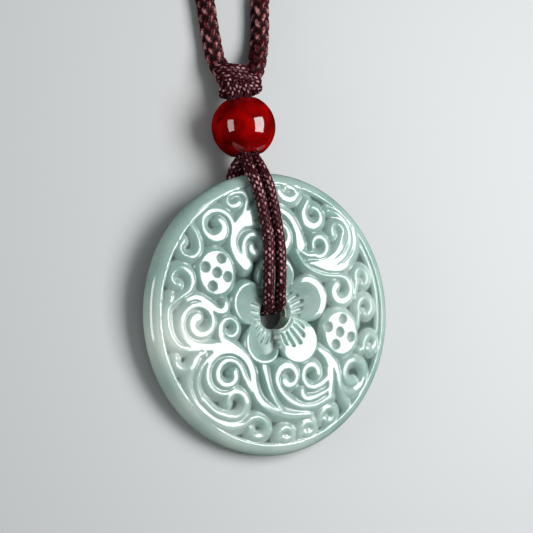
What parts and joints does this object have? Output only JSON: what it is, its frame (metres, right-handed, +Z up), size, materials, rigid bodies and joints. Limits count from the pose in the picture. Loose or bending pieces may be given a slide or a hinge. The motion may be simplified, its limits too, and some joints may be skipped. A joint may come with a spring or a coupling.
{
  "type": "jade peace buckle pendant",
  "caption": "Round carved jade pendant with a bore, hung by a doubled satin cord through an agate bead from a braided neck cord, lying face up.",
  "frame": {"origin": "on the surface it lies on, under the middle of the jade, the bead and the hanger", "axes": "+Z up, out of the carved face; +Y from the jade towards the bead and the neck cord; +X to the right seen from above"},
  "size_m": [0.0487, 0.125, 0.01],
  "materials": {
    "jade": "polished pale green jade, carved in relief, slightly translucent",
    "agate": "polished deep red translucent agate",
    "satin_cord": "dark maroon knitted satin cord",
    "braided_cord": "dark maroon braid of satin cords"
  },
  "bodies": {
    "root": {"jade_disc": "jade", "agate_bead": "agate", "hanger_cord": "satin_cord", "necklace_cord_left": "braided_cord", "necklace_cord_right": "braided_cord", "necklace_coil": "braided_cord"}
  },
  "joints": []
}
